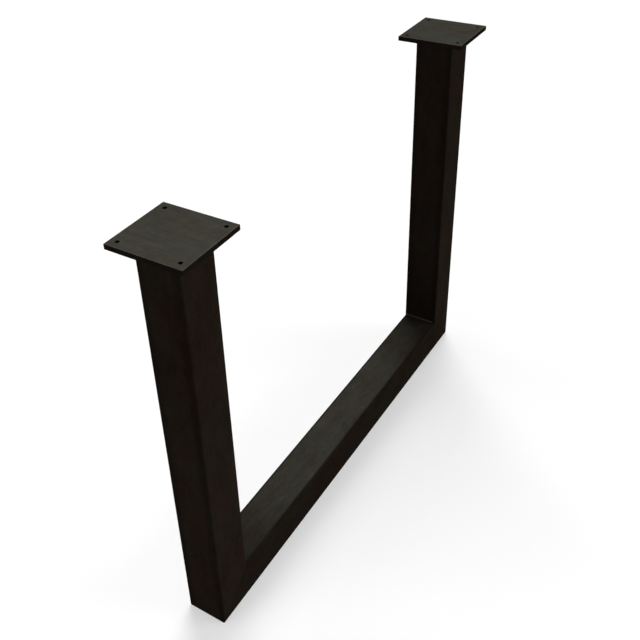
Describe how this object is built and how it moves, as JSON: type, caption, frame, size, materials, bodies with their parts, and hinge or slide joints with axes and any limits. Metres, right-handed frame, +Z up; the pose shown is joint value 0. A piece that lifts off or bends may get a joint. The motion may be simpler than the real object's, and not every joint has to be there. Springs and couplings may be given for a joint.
{
  "type": "table leg",
  "caption": "U-shaped welded table leg of black square steel tube, with mitred corners and a flat screw plate on each upright.",
  "frame": {"origin": "on the floor, at the middle of the base tube's underside", "axes": "+X along the base tube, towards the right upright; +Y across the leg, from its front face to its back face; +Z up, towards the mounting plates"},
  "size_m": [0.905, 0.12, 0.7],
  "materials": {
    "coated_tube": "satin",
    "coated_plate": "satin",
    "coated_weld": "satin"
  },
  "bodies": {
    "root": {"base_tube": "coated_tube", "left_upright": "coated_tube", "left_mounting_plate": "coated_plate", "left_corner_weld": "coated_weld", "left_plate_weld": "coated_weld", "right_upright": "coated_tube", "right_mounting_plate": "coated_plate", "right_corner_weld": "coated_weld", "right_plate_weld": "coated_weld"}
  },
  "joints": []
}
